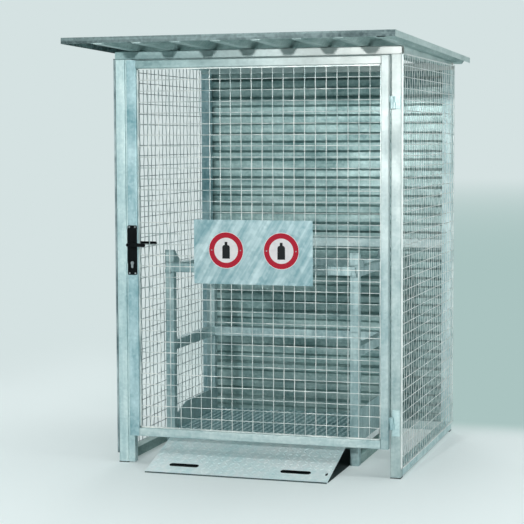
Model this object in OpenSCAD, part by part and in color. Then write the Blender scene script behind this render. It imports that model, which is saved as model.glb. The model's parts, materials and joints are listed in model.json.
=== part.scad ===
// Walk-up storage cage for upright gas cylinders: a tube frame with wire
// mesh sides, a ribbed sheet back, an overhanging ribbed roof, one hinged
// mesh door with a lever lock, and a rack with a fold-down loading ramp
// standing inside it. Millimetres, +Z up, front faces -Y, floor at z = 0.

/* [Frame] */
// Width over the corner posts
frame_w = 1430; // [1300:10:1700]
// Depth over the corner posts
frame_d = 1300; // [1150:10:1500]
// Height from the floor to the underside of the header
post_h = 1990; // [1900:10:2150]
// Side of the square corner posts and of the rails between them
post = 50; // [44:1:60]
// Wall of the steel tubes
wall = 3; // [2:0.5:4]
// Radius of the tubes' corners on the inside
tube_in_r = 1.5; // [0.5:0.5:2]
// Width of the lock jamb beside the left front post
jamb_w = 35; // [28:1:40]
// Depth of the lock jamb
jamb_d = 40; // [30:1:50]
// Height of the header and the beams around the top
beam_h = 40; // [34:1:60]
// Height of the rails along the floor
sill_h = 48; // [30:1:60]
// Thickness of the plastic caps under the posts
foot_t = 5; // [3:1:10]
// Height of the underside of the back wall's middle rail
mid_z = 1006; // [900:1:1100]

/* [Roof] */
// Overhang of the roof in front of the posts
roof_front = 466; // [300:1:480]
// Overhang of the roof behind the posts
roof_back = 100; // [50:1:150]
// Overhang of the roof beyond each side
roof_side = 72; // [50:1:120]
// Fall of the roof towards the back, in degrees
roof_fall = 1; // [0.5:0.1:1.5]
// Distance from one roof rib to the next
rib_pitch = 190; // [180:1:220]
// Extra width of the flat along the roof's left edge
rib_start = 35; // [0:1:60]
// Height of the roof ribs
rib_h = 30; // [20:1:35]
// Width of the narrow foot of each rib
rib_foot = 40; // [30:1:50]
// Run of each sloping rib web
rib_web = 24; // [15:1:30]
// Thickness of the roof and back sheets
sheet_t = 1.2; // [0.8:0.1:2]
// Height of the edge trim round the roof
trim_h = 28; // [20:1:40]
// Width of the trim's top flange
trim_flange = 30; // [20:1:40]
// Thickness of the trim
trim_t = 1.5; // [1:0.1:3]
// Diameter of the washers under the roof screws
washer_d = 16; // [12:1:20]
// Thickness of the washers under the roof screws
washer_t = 1.5; // [1:0.5:3]
// Width over the corners of the roof screws' hexagonal heads
screw_w = 9; // [8:0.5:11]
// Height of the roof screws' heads
screw_head = 5; // [4:1:7]

/* [Back wall] */
// Distance from one back wall rib to the next
back_pitch = 100; // [80:1:140]
// Depth of the back wall ribs
back_rib = 20; // [12:1:25]
// Height of the narrow band of each back wall rib
back_band = 32; // [25:1:40]
// Run of each sloping back wall web
back_web = 14; // [8:1:16]
// Height of the back wall sheet's lower edge above the floor
back_low = 40; // [10:1:60]
// Gap between the back wall sheet and the roof
back_gap = 1; // [1:1:10]

/* [Wire mesh] */
// Distance from one wire to the next
mesh_pitch = 53; // [45:1:65]
// Diameter of the wire
wire = 4; // [3:0.5:5]
// Gap between the upright and the level wires where they cross
wire_gap = 0.3; // [0.2:0.1:0.5]
// Width of the flat edge bar round each mesh panel
edge_bar = 6; // [5:1:10]

/* [Door] */
// Thickness of the door frame
door_t = 40; // [35:1:45]
// Gap between the closed door and the front of the posts
door_gap = 2; // [1:0.5:3]
// Overlap of the door on the lock jamb
door_lap = 10; // [5:1:15]
// Gap between the door and the right front post, seen from the front
door_side_gap = 1; // [1:0.5:4]
// Height of the door's lower edge above the floor
door_z = 145; // [140:1:180]
// Gap between the door's upper edge and the level of the header
door_top_gap = 5; // [3:1:10]
// Width of the stile that holds the lock
lock_stile = 50; // [46:1:60]
// Width of the stile at the hinges
hinge_stile = 38; // [34:1:50]
// Height of the door's top and bottom rails
door_rail = 40; // [34:1:50]
// Height of the sign plate's centre
sign_z = 1061; // [1000:1:1200]
// Offset of the sign plate from the middle of the mesh, positive to the right
sign_x = -21; // [-60:1:60]
// Width of the sign plate
sign_w = 596; // [400:1:700]
// Height of the sign plate
sign_h = 310; // [200:1:400]
// Thickness of the sign plate
sign_t = 1.5; // [1:0.5:3]
// Corner radius of the sign plate
sign_r = 6; // [2:1:15]

/* [Lock] */
// Height of the lever axis
lever_z = 1092; // [1000:1:1150]
// Distance from the lever axis down to the key cylinder's axis
lock_centres = 92; // [85:1:100]
// Length of the lever from its axis to its tip
lever_len = 88; // [75:1:130]
// Height of the lever's grip
lever_grip = 17; // [12:1:20]
// Thickness of the lever's grip
lever_t = 11; // [8:1:14]
// Reach of the lever in front of its plate
lever_reach = 59; // [45:1:70]
// Diameter of the lever's neck
lever_neck = 17; // [14:1:20]
// Side of the square spindle
spindle = 8; // [7:1:9]
// Length of the spindle inside each lever
spindle_in = 20; // [12:1:30]
// Play round the spindle's corners in the lock case
spindle_play = 0.5; // [0.3:0.1:1]
// Width of the outer lock plate
plate_w = 48; // [42:1:50]
// Height of the lock plates
plate_h = 242; // [225:1:260]
// Distance of the plate's upper end above the lever axis
plate_above = 92; // [85:1:100]
// Thickness of the outer lock plate
plate_t = 6; // [4:1:8]
// Corner radius of the outer lock plate
plate_r = 6; // [2:1:10]
// Thickness of the inner lock plate
plate_in_t = 3; // [2:1:5]
// Width of the inner lock plate
plate_in_w = 32; // [26:1:34]
// Distance of the inner lock plate from the stile's inner edge
plate_in_off = 3; // [2:1:4]
// Diameter of the lock plate screws' heads
lock_screw_d = 9; // [7:0.5:10]
// Diameter of the lock plate screws' crowns
lock_crown_d = 6; // [4:0.5:6.5]
// Height of the lock plate screws' heads
lock_screw_t = 2; // [1:0.5:3]
// Distance of the lock plate screws from the plate's ends
screw_end = 8; // [7:0.5:12]
// Distance of the lock plate screws from the plate's sides
screw_side = 9; // [7:0.5:12]
// Diameter of the round part of the key cylinder
cyl_d = 17; // [16:1:18]
// Height of the key cylinder
cyl_h = 33; // [30:1:35]
// Width of the key cylinder's lower web
cyl_web = 10; // [9:1:11]
// Play round the key cylinder in the plates, the stile and the case
cyl_play = 0.5; // [0.3:0.1:1]
// Reach of the key cylinder in front of the outer plate
cyl_out = 2; // [1:0.5:5]
// Diameter of the turning key plug
plug_d = 12; // [10:1:13]
// Length of the turning key plug
plug_l = 28; // [22:1:30]
// Reach of the key plug in front of the cylinder
plug_out = 0.5; // [0.2:0.1:1]
// Width of the keyhole
keyhole_w = 2; // [1.5:0.5:3]
// Depth of the keyhole
keyhole_l = 20; // [14:1:20]
// Distance from the keyhole to the plug's rim
keyhole_rim = 2; // [1.5:0.5:3]
// Height of the latch axis above the lever axis
latch_up = 32; // [30:1:40]
// Height of the latch bolt
latch_h = 24; // [18:1:28]
// Thickness of the latch bolt
latch_t = 16; // [12:1:18]
// Reach of the latch beyond the door
latch_out = 12; // [10:1:14]
// Length of the latch bolt inside the door
latch_in = 28; // [22:1:30]
// Thickness of the latch bolt's bevelled tip
latch_nose = 4; // [3:0.5:6]
// Length of the latch bolt's full section outside the door
latch_flat = 1; // [0.5:0.5:3]
// Height of the dead bolt's axis above the key cylinder's axis
bolt_up = 42; // [40:1:46]
// Height of the dead bolt
bolt_h = 30; // [24:1:34]
// Thickness of the dead bolt
bolt_t = 12; // [10:1:14]
// Length of the dead bolt
bolt_l = 36; // [30:1:40]
// Distance of the drawn-in dead bolt behind the door's edge
bolt_in = 0.5; // [0.5:0.5:2]
// Height of the lock case below the key cylinder's axis
case_below = 45; // [40:1:60]
// Height of the lock case above the latch axis
case_above = 30; // [24:1:45]
// Distance from the door's edge to the keep
keep_gap = 4; // [3:1:5]
// Thickness of the angle keep
keep_t = 4; // [3:1:5]
// Play of the bolts in the keep's windows
keep_play = 1.5; // [1:0.5:2]
// Height of the keep
keep_h = 170; // [170:1:200]
// Width of the keep's foot on the post
keep_foot = 42; // [30:1:50]

/* [Hinges] */
// Distance of the upper hinge's centre below the door's upper edge
hinge_hi = 216; // [120:1:300]
// Distance of the lower hinge's centre above the door's lower edge
hinge_lo = 121; // [80:1:250]
// Height of a hinge's two knuckles together
knuckle_h = 58; // [50:1:80]
// Diameter of the hinge knuckles
knuckle_d = 18; // [16:1:19]
// Diameter of the hinge pins
pin_d = 10; // [8:0.5:12]
// Height of the lower hinge's leaf
leaf_lo_h = 124; // [60:1:140]
// Width of a hinge's leaf on the post
leaf_w = 36; // [30:1:40]
// Thickness of a hinge's leaf
leaf_t = 8; // [5:1:8]
// Distance from the hinge axis to the leaf's edge
leaf_in = 2; // [1:0.5:4]
// Width of the web that joins a lower knuckle to its leaf
knuckle_web = 14; // [12:1:20]
// Distance of the pin's upper end below the upper knuckle's end
pin_short = 3; // [1:0.5:6]
// Distance from the door's edge to the hinge axis
hinge_off = 10; // [10:0.5:12]

/* [Rack] */
// Offset of the rack's centre from the cage's centre, positive to the right
rack_x = -46; // [-60:1:0]
// Distance of the rack behind the front of the posts
rack_y = 225; // [200:1:240]
// Width over the rack's posts
rack_w = 1005; // [900:1:1050]
// Depth over the rack's posts
rack_d = 670; // [600:1:760]
// Height of the rack's posts
rack_h = 975; // [900:1:1050]
// Side of the rack's square posts
rack_post = 45; // [40:1:50]
// Height of the stacking wedges on the posts
wedge_h = 73; // [50:1:90]
// Length of the stacking wedges
wedge_l = 115; // [80:1:140]
// Flat top of the stacking wedges
wedge_top = 20; // [10:1:30]
// Height of the underside of the rack's middle rails
rack_mid_z = 538; // [450:1:600]
// Height of the rack's middle rails
rack_mid_h = 50; // [40:1:60]
// Height of the deck's upper face
deck_z = 138; // [130:1:160]
// Thickness of the deck plate and the ramp plate
deck_t = 6; // [5:1:8]
// Height of the cross beams under the deck
bearer_h = 50; // [40:1:55]
// Height of the upper edge of the side plates
kick_z = 252; // [200:1:300]
// Thickness of the side plates
kick_t = 5; // [3:1:6]
// Height of the underside of the side plates
kick_low = 82; // [70:1:90]
// Length of the side plates' slanted front corner
kick_cut_l = 130; // [60:5:200]
// Height of the side plates' slanted front corner
kick_cut_h = 40; // [20:5:60]
// Height of the skids along the floor
skid_h = 50; // [40:1:60]
// Height of the underside of the front bar
bar_z = 937; // [850:1:945]
// Height of the front bar
bar_h = 46; // [35:1:50]
// Thickness of the front bar
bar_t = 18; // [15:1:25]
// Distance of the front bar's ends from the rack's sides
bar_in = 14; // [4:1:20]
// Thickness of the hooks that carry the front bar
hook_t = 4; // [3:1:6]
// Width of the hooks that carry the front bar
hook_w = 30; // [20:1:34]
// Height of the hooks' lip in front of the bar
hook_lip = 15; // [10:1:30]
// Play round the front bar in its hooks
hook_play = 0.5; // [0.3:0.1:1]

/* [Ramp] */
// Length of the ramp from its axis to its lower edge
ramp_len = 432; // [400:1:450]
// Height of the ramp's axis
ramp_axis_z = 124; // [115:1:126]
// Distance of the ramp's axis in front of the rack
ramp_off = 11; // [11:0.5:14]
// Diameter of the ramp's knuckles
ramp_knuckle = 17; // [15:1:18]
// Diameter of the ramp's pin
ramp_pin_d = 9; // [8:0.5:10]
// Length of each fixed knuckle
ramp_fix_l = 60; // [40:1:80]
// Length of each knuckle on the ramp
ramp_mov_l = 60; // [40:1:80]
// Distance from the ramp's sides to its outer knuckles
ramp_knuckle_in = 4; // [2:1:60]
// Height of the fixed knuckles' seats above the ramp's axis
knuckle_seat = 2; // [0:0.5:2]
// Gap between the ramp's sides and the rack's posts
ramp_side = 3; // [2:0.5:6]
// Gap between the ramp plate and the fixed knuckles
ramp_gap = 1.5; // [1:0.5:3]
// Length of the hand slots
slot_l = 146; // [120:1:180]
// Width of the hand slots
slot_w = 26; // [20:1:34]
// Distance from the rack's centre to each hand slot's centre
slot_x = 281; // [200:1:300]
// Distance from the ramp's lower edge to the hand slots' centres
slot_in = 84; // [70:1:120]
// Length of the catch slot near the ramp's right side
catch_l = 34; // [25:1:45]
// Width of the catch slot
catch_w = 14; // [8:1:16]
// Distance from the ramp's right side to the catch slot's centre
catch_in = 22; // [18:1:40]

/* [Clearances] */
// Running clearance round pins and shafts, on the radius
run = 0.1; // [0.05:0.01:0.1]
// Clearance between pieces that slide past one another
slide_gap = 0.3; // [0.3:0.1:0.5]

/* [Hidden] */

// The cage is drawn with the front of its posts at y = 0. The origin is under
// the middle of the roof, so everything is moved back by this much.
hw = frame_w/2;
roof_run = roof_front + frame_d + roof_back;
roof_top = rib_h + sheet_t;
trim_low = roof_top + trim_t - trim_h;
front_y = -roof_front - trim_t*cos(roof_fall) + trim_low*sin(roof_fall);
back_y = frame_d + roof_back + (roof_top + trim_t)*sin(roof_fall);
y_mid = (front_y + back_y)/2;

// Roof plane: its underside rests on the back of the header's flat top.
tube_r = tube_in_r + wall;
beam_top = post_h + beam_h;
function roof_z(y) = beam_top - (y - post + tube_r)*tan(roof_fall);
back_top = roof_z(frame_d);
roof_w = frame_w + 2*roof_side;
roof_len = roof_run/cos(roof_fall);
rib_flat = rib_pitch - rib_foot - 2*rib_web;
rib_run = roof_w - rib_start - rib_flat;
rib_count = floor(rib_run/rib_pitch);
sill_top = foot_t + sill_h;

// Door, seen from the front
door_x1 = hw - post - door_side_gap;
door_x0 = -hw + post + jamb_w - door_lap;
door_z1 = post_h - door_top_gap;
door_y0 = -door_gap - door_t;
door_y1 = -door_gap;
door_h = door_z1 - door_z;
open_x0 = door_x0 + lock_stile;
open_x1 = door_x1 - hinge_stile;
panel_t = 2*wire + 2*wire_gap;
door_mesh_y = door_y0 + (door_t - panel_t)/2;
lock_x = door_x0 + lock_stile/2;
lock_y = door_y0 + door_t/2;
cyl_z = lever_z - lock_centres;
case_z0 = cyl_z - case_below;
plate_z1 = lever_z + plate_above;
plate_z0 = plate_z1 - plate_h;
plate_y = door_y0 - plate_t;
latch_z = lever_z + latch_up;
bolt_z = cyl_z + bolt_up;
case_z1 = latch_z + case_above;
cyl_y0 = plate_y - cyl_out;
latch_tip = door_x0 - latch_out;
keep_x = door_x0 - keep_gap - keep_t;
hinge_x = door_x1 + hinge_off;
hinge_y = -door_gap - knuckle_d;
hinge_hi_z = door_z1 - hinge_hi;
hinge_lo_z = door_z + hinge_lo;

// Rack
rx0 = rack_x - rack_w/2;
rx1 = rack_x + rack_w/2;
ry1 = rack_y + rack_d;
deck_low = deck_z - deck_t;
ramp_y = rack_y - ramp_off;
ramp_w = rack_w - 2*rack_post - 2*ramp_side;
ramp_a = asin((ramp_axis_z - deck_t/2)/ramp_len);
ramp_clear = ramp_knuckle/2 + ramp_gap;
ramp_knuckle_x = ramp_w/2 - ramp_knuckle_in - ramp_mov_l - slide_gap - ramp_fix_l/2;
knuckle_xs = [-ramp_knuckle_x, 0, ramp_knuckle_x];
bar_y = rack_y - bar_t - hook_play;

galv = [0.78, 0.81, 0.82];
galv_dark = [0.62, 0.66, 0.67];
plate_black = [0.06, 0.06, 0.07];

module placed() { translate([0, -y_mid, 0]) children(); }

// Rectangle with round corners, its lower left corner at the origin
module round_rect(w, h, r) {
  union() {
    translate([r, 0]) square([w - 2*r, h]);
    translate([0, r]) square([w, h - 2*r]);
    for (x = [r, w - r], y = [r, h - r]) translate([x, y]) circle(r = r, $fn = 32);
  }
}

// Section of a square or rectangular tube
module tube_section(w, h) {
  difference() {
    round_rect(w, h, tube_r);
    translate([wall, wall]) round_rect(w - 2*wall, h - 2*wall, tube_in_r);
  }
}

// Square or rectangular tube along one axis, open at both ends
module tube(size, axis) {
  if (axis == 0) rotate([90, 0, 90]) linear_extrude(size[0]) tube_section(size[1], size[2]);
  if (axis == 1) translate([0, size[1], 0]) rotate([90, 0, 0])
    linear_extrude(size[1]) tube_section(size[0], size[2]);
  if (axis == 2) linear_extrude(size[2]) tube_section(size[0], size[1]);
}

module post_at(x, y, top) {
  placed() color(galv) translate([x, y, foot_t]) tube([post, post, top - foot_t], 2);
}

module feet() {
  placed() color(plate_black)
    for (x = [-hw, hw - post], y = [0, frame_d - post]) translate([x, y, 0]) cube([post, post, foot_t]);
}

module lock_jamb() {
  placed() color(galv) translate([-hw + post, 0, foot_t]) tube([jamb_w, jamb_d, post_h - foot_t], 2);
}

module header() {
  placed() color(galv) translate([-hw, 0, post_h]) tube([frame_w, post, beam_h], 0);
}

module back_beam() {
  placed() color(galv) translate([-hw, frame_d - post, back_top - beam_h]) tube([frame_w, post, beam_h], 0);
}

// Side beam's face from y0 to y1, drawn in by t above and below
module side_beam_face(y0, y1, t) {
  polygon([[y0, post_h + t], [y1, post_h + t], [y1, roof_z(y1) - t], [y0, roof_z(y0) - t]]);
}

// Side beam: level below, its upper edge follows the fall of the roof
module side_beam(x) {
  y0 = post; y1 = frame_d - post;
  placed() color(galv) translate([x, 0, 0]) rotate([90, 0, 90]) difference() {
    linear_extrude(post) side_beam_face(y0, y1, 0);
    translate([0, 0, wall]) linear_extrude(post - 2*wall) side_beam_face(y0 - 1, y1 + 1, wall);
  }
}

module sill_side(x) {
  placed() color(galv) translate([x, post, foot_t]) tube([post, frame_d - 2*post, sill_h], 1);
}

module rail_back(z, h) {
  placed() color(galv) translate([-hw + post, frame_d - post, z]) tube([frame_w - 2*post, post, h], 0);
}

// Mesh panel in the XZ plane: upright wires in front, level wires behind,
// all let into a flat edge bar that is welded to the tubes round it.
module wire_panel(w, h) {
  nx = round((w - edge_bar)/mesh_pitch);
  nz = round((h - edge_bar)/mesh_pitch);
  px = (w - edge_bar)/nx;
  pz = (h - edge_bar)/nz;
  grip = edge_bar/2;
  color(galv) union() {
    for (x = [0, w - edge_bar]) translate([x, 0, 0]) cube([edge_bar, panel_t, h]);
    for (z = [0, h - edge_bar]) translate([0, 0, z]) cube([w, panel_t, edge_bar]);
    for (i = [1:nx - 1]) translate([edge_bar/2 + i*px, wire/2 + wire_gap/2, grip])
      cylinder(d = wire, h = h - 2*grip, $fn = 24);
    for (k = [1:nz - 1]) translate([grip, panel_t - wire/2 - wire_gap/2, edge_bar/2 + k*pz])
      rotate([0, 90, 0]) cylinder(d = wire, h = w - 2*grip, $fn = 24);
  }
}

// Side panel on the outer faces of two posts, left s = -1 and right s = 1. Its
// edge bars lap the sill and the side beam.
module mesh_side(s) {
  x = s > 0 ? hw + panel_t : -hw;
  placed() translate([x, 0, sill_top - edge_bar]) rotate([0, 0, 90])
    wire_panel(frame_d, post_h - sill_top + 2*edge_bar);
}

// Height of a ribbed sheet at a distance u along it: 0 on the wide flats,
// -deep on the narrow ones
function rib_level(u, pitch, flat, web, deep) =
  let (m = u - pitch*floor(u/pitch))
  m <= flat ? 0 :
  m < flat + web ? -deep*(m - flat)/web :
  m <= pitch - web ? -deep : -deep*(pitch - m)/web;

// Corners of a ribbed sheet's line, whose first flat is wider by start
function rib_line(run, pitch, flat, web, deep, start) = concat(
  [[0, 0]],
  [for (k = [0:floor((run - start)/pitch)], b = [0, flat, flat + web, pitch - web])
    if (k*pitch + b > 0 && start + k*pitch + b < run - 0.5)
      [start + k*pitch + b, rib_level(b, pitch, flat, web, deep)]],
  [[run, rib_level(run - start, pitch, flat, web, deep)]]);

// Profile of a ribbed sheet as a closed outline, thickness t
module rib_profile(run, pitch, flat, web, deep, t, start = 0) {
  line = rib_line(run, pitch, flat, web, deep, start);
  n = len(line);
  polygon(concat(line, [for (i = [1:n]) [line[n - i][0], line[n - i][1] - t]]));
}

module back_sheet() {
  flat = back_pitch - back_band - 2*back_web;
  y = frame_d + back_rib + sheet_t;
  placed() color(galv_dark) translate([-hw, y, back_low]) rotate([90, 0, 90]) linear_extrude(frame_w)
    mirror([1, -1, 0])
      rib_profile(roof_z(y) - back_gap - back_low, back_pitch, flat, back_web, back_rib, sheet_t);
}

// Coordinates on the roof: x across, y from the front edge along the fall,
// z = 0 at the underside of the rib feet
module on_roof() {
  placed() translate([0, -roof_front, roof_z(-roof_front)]) rotate([-roof_fall, 0, 0]) children();
}

module roof_sheet() {
  on_roof() color(galv_dark) translate([-roof_w/2, roof_len, 0]) rotate([90, 0, 0]) linear_extrude(roof_len)
    translate([0, rib_h + sheet_t])
      rib_profile(roof_w, rib_pitch, rib_flat, rib_web, rib_h, sheet_t, rib_start);
}

module roof_trim_front() {
  w = roof_w + 2*trim_t;
  on_roof() color(galv) translate([-w/2, -trim_t, 0]) union() {
    translate([0, 0, trim_low]) cube([w, trim_t, trim_h]);
    translate([0, 0, roof_top]) cube([w, trim_flange + trim_t, trim_t]);
  }
}

// Side trim, left s = -1 and right s = 1. The right one reaches over the
// last rib to the last wide flat.
module roof_trim_side(s) {
  w = s > 0 ? trim_flange + rib_run - rib_pitch*rib_count : trim_flange;
  on_roof() color(galv) union() {
    translate([s > 0 ? roof_w/2 : -roof_w/2 - trim_t, 0, trim_low]) cube([trim_t, roof_len, trim_h - trim_t]);
    translate([s > 0 ? roof_w/2 - w : -roof_w/2 - trim_t, trim_flange, roof_top])
      cube([w + trim_t, roof_len - trim_flange, trim_t]);
  }
}

// Screws with washers through each rib foot into the header and the back beam
module roof_screws() {
  x0 = roof_w/2 - rib_run + rib_web + rib_foot/2;
  on_roof() color(galv)
    for (i = [0:rib_count - 1], y = [roof_front + post/2, roof_front + frame_d - post/2])
      translate([x0 + i*rib_pitch, y/cos(roof_fall), sheet_t]) union() {
        cylinder(d = washer_d, h = washer_t, $fn = 32);
        cylinder(d = screw_w, h = washer_t + screw_head, $fn = 6);
      }
}

// Square passage for a bolt through the lock's middle plane: from x0 over a
// length l, t wide and h high
module bolt_cut(x0, l, z, t, h) {
  translate([x0, lock_y - t/2, z - h/2]) cube([l, t, h]);
}

// Passages for both bolts with sliding play
module bolt_cuts(x0, l) {
  bolt_cut(x0, l, latch_z, latch_t + 2*slide_gap, latch_h + 2*slide_gap);
  bolt_cut(x0, l, bolt_z, bolt_t + 2*slide_gap, bolt_h + 2*slide_gap);
}

// Angle keep on the left front post, with a window for each bolt
module keep() {
  zc = (latch_z + bolt_z)/2;
  placed() color(galv) difference() {
    union() {
      translate([keep_x, door_y0, zc - keep_h/2]) cube([keep_t, -door_y0, keep_h]);
      translate([keep_x + keep_t - keep_foot, -keep_t, zc - keep_h/2]) cube([keep_foot, keep_t, keep_h]);
    }
    bolt_cut(keep_x - 1, keep_t + 2, latch_z, latch_t + 2*keep_play, latch_h + 2*keep_play);
    bolt_cut(keep_x - 1, keep_t + 2, bolt_z, bolt_t + 2*keep_play, bolt_h + 2*keep_play);
  }
}

// Post half of a hinge: leaf, lower knuckle and pin
module hinge_post(zc, leaf_h) {
  h = knuckle_h/2 - slide_gap/2;
  placed() color(galv) union() {
    translate([hinge_x + leaf_in, -leaf_t, zc - leaf_h/2]) cube([leaf_w, leaf_t, leaf_h]);
    translate([hinge_x, hinge_y, zc - knuckle_h/2]) {
      cube([knuckle_web, -hinge_y - leaf_t + 1, h]);
      cylinder(d = knuckle_d, h = h, $fn = 48);
      cylinder(d = pin_d, h = knuckle_h - pin_short, $fn = 48);
    }
  }
}

// Door half of a hinge: upper knuckle and the tab welded to the stile
module hinge_door(zc) {
  placed() color(galv) translate([hinge_x, hinge_y, zc + slide_gap/2]) difference() {
    union() {
      cylinder(d = knuckle_d, h = knuckle_h/2 - slide_gap/2, $fn = 48);
      translate([-hinge_off, -knuckle_d/3, 0]) cube([hinge_off, 2*knuckle_d/3, knuckle_h/2 - slide_gap/2]);
    }
    translate([0, 0, -1]) cylinder(r = pin_d/2 + run, h = knuckle_h, $fn = 48);
  }
}

// Outline of a profile key cylinder round its axis
module cyl_outline(play) {
  drop = cyl_h - cyl_d/2 - cyl_web/2;
  union() {
    circle(r = cyl_d/2 + play, $fn = 48);
    translate([-cyl_web/2 - play, -drop]) square([cyl_web + 2*play, drop]);
    translate([0, -drop]) circle(r = cyl_web/2 + play, $fn = 48);
  }
}

// Runs a cut for the key cylinder along Y, from y0 over a length l
module cyl_cut(y0, l, play) {
  translate([lock_x, y0 + l, cyl_z]) rotate([90, 0, 0]) linear_extrude(l) cyl_outline(play);
}

module spindle_hole(y0, l, r) {
  translate([lock_x, y0, lever_z]) rotate([-90, 0, 0]) cylinder(r = r, h = l, $fn = 48);
}

module door_stile_lock() {
  placed() color(galv) difference() {
    translate([door_x0, door_y0, door_z]) tube([lock_stile, door_t, door_h], 2);
    cyl_cut(door_y0 - 1, door_t + 2, cyl_play);
    spindle_hole(door_y0 - 1, door_t + 2, lever_neck/2 + 1);
    bolt_cuts(door_x0 - 1, wall + 2);
  }
}

module door_stile_hinge() {
  placed() color(galv) translate([open_x1, door_y0, door_z]) tube([hinge_stile, door_t, door_h], 2);
}

module door_rail(z) {
  placed() color(galv) translate([open_x0, door_y0, z]) tube([open_x1 - open_x0, door_t, door_rail], 0);
}

module door_mesh() {
  placed() translate([open_x0, door_mesh_y, door_z + door_rail])
    wire_panel(open_x1 - open_x0, door_h - 2*door_rail);
}

// Sign plate hung flat against the front of the door's mesh
module sign_plate() {
  xc = (open_x0 + open_x1)/2 + sign_x;
  placed() color(galv) translate([xc, door_mesh_y + wire_gap/2, sign_z]) rotate([90, 0, 0])
    linear_extrude(sign_t) translate([-sign_w/2, -sign_h/2]) round_rect(sign_w, sign_h, sign_r);
}

// Mortice case inside the lock stile
module lock_case() {
  placed() color(galv_dark) difference() {
    translate([door_x0 + wall, door_y0 + wall, case_z0]) linear_extrude(case_z1 - case_z0)
      round_rect(lock_stile - 2*wall, door_t - 2*wall, tube_in_r);
    cyl_cut(door_y0 - 1, door_t + 2, cyl_play);
    spindle_hole(door_y0 - 1, door_t + 2, spindle/sqrt(2) + spindle_play);
    bolt_cuts(door_x0 - 1, lock_stile - wall - 2);
  }
}

module lock_plate_outer() {
  placed() color(plate_black) difference() {
    translate([lock_x - plate_w/2, door_y0, plate_z0]) rotate([90, 0, 0]) linear_extrude(plate_t)
      round_rect(plate_w, plate_h, plate_r);
    cyl_cut(plate_y - 1, plate_t + 2, cyl_play);
    spindle_hole(plate_y - 1, plate_t + 2, lever_neck/2 + slide_gap);
  }
}

module lock_plate_inner() {
  placed() color(plate_black) difference() {
    translate([open_x0 - plate_in_w - plate_in_off, door_y1, plate_z0])
      cube([plate_in_w, plate_in_t, plate_h]);
    cyl_cut(door_y1 - 1, plate_in_t + 2, cyl_play);
    spindle_hole(door_y1 - 1, plate_in_t + 2, lever_neck/2 + slide_gap);
  }
}

module lock_screws() {
  placed() color(galv)
    for (x = [-1, 1], z = [plate_z0 + screw_end, plate_z1 - screw_end])
      translate([lock_x + x*(plate_w/2 - screw_side), plate_y, z]) rotate([90, 0, 0])
        cylinder(d1 = lock_screw_d, d2 = lock_crown_d, h = lock_screw_t, $fn = 32);
}

module key_cylinder() {
  placed() color(galv) difference() {
    cyl_cut(cyl_y0, door_y1 + plate_in_t - cyl_y0, 0);
    translate([lock_x, cyl_y0 - 1, cyl_z]) rotate([-90, 0, 0])
      cylinder(r = plug_d/2 + run, h = plug_l + 1 + slide_gap, $fn = 48);
  }
}

module key_plug() {
  placed() color(galv) difference() {
    translate([lock_x, cyl_y0 - plug_out, cyl_z]) rotate([-90, 0, 0])
      cylinder(d = plug_d, h = plug_l, $fn = 48);
    translate([lock_x - keyhole_w/2, cyl_y0 - plug_out - 1, cyl_z - plug_d/2 + keyhole_rim])
      cube([keyhole_w, keyhole_l + 1, plug_d - 2*keyhole_rim]);
  }
}

module dead_bolt() {
  placed() color(galv) translate([door_x0 + bolt_in, lock_y - bolt_t/2, bolt_z - bolt_h/2])
    cube([bolt_l, bolt_t, bolt_h]);
}

// Spring latch: flat towards the front, bevelled towards the frame
module latch_bolt() {
  placed() color(galv) translate([latch_tip, lock_y - latch_t/2, latch_z - latch_h/2]) linear_extrude(latch_h)
    polygon([[0, 0], [latch_out + latch_in, 0], [latch_out + latch_in, latch_t],
             [latch_out - latch_flat, latch_t], [0, latch_nose]]);
}

// Lever: a round neck through the plate and a flat grip with round ends.
// s = -1 outside, 1 inside
module lever(y_seat, s, l) {
  into = plate_in_t - slide_gap;
  y = s > 0 ? l - lever_t : -l;
  placed() color(plate_black) translate([lock_x, y_seat, lever_z]) difference() {
    union() {
      rotate([-90*s, 0, 0]) translate([0, 0, -into]) cylinder(d = lever_neck, h = l + into, $fn = 48);
      translate([0, y, 0]) rotate([-90, 0, 0]) cylinder(d = lever_neck, h = lever_t, $fn = 48);
      translate([0, y, -lever_grip/2]) cube([lever_len - lever_grip/2, lever_t, lever_grip]);
      translate([lever_len - lever_grip/2, y, 0]) rotate([-90, 0, 0])
        cylinder(d = lever_grip, h = lever_t, $fn = 48);
    }
    translate([-spindle/2 - run, s > 0 ? -10 : -spindle_in, -spindle/2 - run])
      cube([spindle + 2*run, spindle_in + 10, spindle + 2*run]);
  }
}

module lever_spindle() {
  y0 = plate_y - spindle_in + slide_gap;
  y1 = door_y1 + plate_in_t + spindle_in - slide_gap;
  placed() color(galv) translate([lock_x - spindle/2, y0, lever_z - spindle/2])
    cube([spindle, y1 - y0, spindle]);
}

// Rack post with a stacking wedge as wide as the post. back = 1 turns the
// wedge to lead forwards.
module rack_post_at(x, back) {
  y = back ? ry1 - rack_post : rack_y;
  placed() color(galv) union() {
    translate([x, y, 0]) tube([rack_post, rack_post, rack_h], 2);
    translate([x, back ? ry1 : rack_y, 0]) mirror([0, back, 0]) rotate([90, 0, 90]) linear_extrude(rack_post)
      polygon([[0, rack_h], [0, rack_h + wedge_h], [wedge_top, rack_h + wedge_h], [wedge_l, rack_h]]);
  }
}

// Upper and middle rail of one side
module rack_rails_side(x) {
  placed() color(galv) for (r = [[rack_h - rack_post, rack_post], [rack_mid_z, rack_mid_h]])
    translate([x, rack_y + rack_post, r[0]]) tube([rack_post, rack_d - 2*rack_post, r[1]], 1);
}

module rack_rails_back() {
  placed() color(galv) for (r = [[rack_h - rack_post, rack_post], [rack_mid_z, rack_mid_h]])
    translate([rx0 + rack_post, ry1 - rack_post, r[0]]) tube([rack_w - 2*rack_post, rack_post, r[1]], 0);
}

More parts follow.
